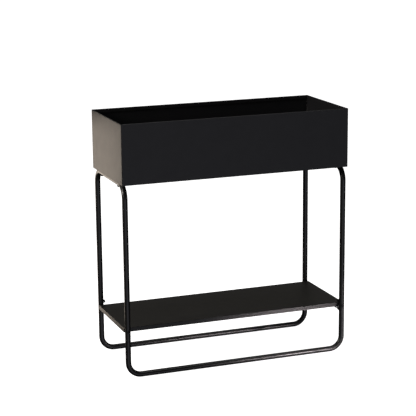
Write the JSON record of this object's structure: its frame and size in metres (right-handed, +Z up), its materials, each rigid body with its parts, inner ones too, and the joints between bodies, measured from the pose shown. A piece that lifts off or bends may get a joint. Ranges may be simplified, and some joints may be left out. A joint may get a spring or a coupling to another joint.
{
  "type": "raised planter on legs",
  "caption": "Rectangular folded sheet-steel planter box raised on a bent round-tube frame with a flat sheet shelf near the floor.",
  "frame": {"origin": "on the floor, under the middle of the box", "axes": "+Z up, +X along the box to the right as seen from the front, +Y to the rear"},
  "size_m": [0.6, 0.25, 0.64],
  "materials": {
    "box_powder_coat": "satin black powder coat, fine texture",
    "shelf_powder_coat": "satin black powder coat, fine texture",
    "frame_powder_coat": "satin black powder coat",
    "black_screws": "black zinc plate",
    "sleeve_steel": "drawn steel, oiled"
  },
  "bodies": {
    "root": {"front_panel": "box_powder_coat", "rear_panel": "box_powder_coat", "left_end_panel": "box_powder_coat", "right_end_panel": "box_powder_coat", "floor_plate": "box_powder_coat", "floor_nut_front_left": "box_powder_coat", "floor_nut_front_right": "box_powder_coat", "floor_nut_rear_left": "box_powder_coat", "floor_nut_rear_right": "box_powder_coat", "frame_tube_left_front": "frame_powder_coat", "frame_tube_right_rear": "frame_powder_coat", "shelf_lug_rear_left": "frame_powder_coat", "shelf_lug_front_right": "frame_powder_coat", "joint_sleeve_rear_left": "sleeve_steel", "joint_sleeve_front_right": "sleeve_steel", "joint_bolt_rear_left": "black_screws", "joint_bolt_front_right": "black_screws", "shelf": "shelf_powder_coat", "shelf_bolt_front_left": "black_screws", "shelf_bolt_front_right": "black_screws", "shelf_bolt_rear_left": "black_screws", "shelf_bolt_rear_right": "black_screws", "shelf_nut_front_left": "black_screws", "shelf_nut_front_right": "black_screws", "shelf_nut_rear_left": "black_screws", "shelf_nut_rear_right": "black_screws", "box_screw_front_left": "black_screws", "box_screw_front_right": "black_screws", "box_screw_rear_left": "black_screws", "box_screw_rear_right": "black_screws"}
  },
  "joints": []
}
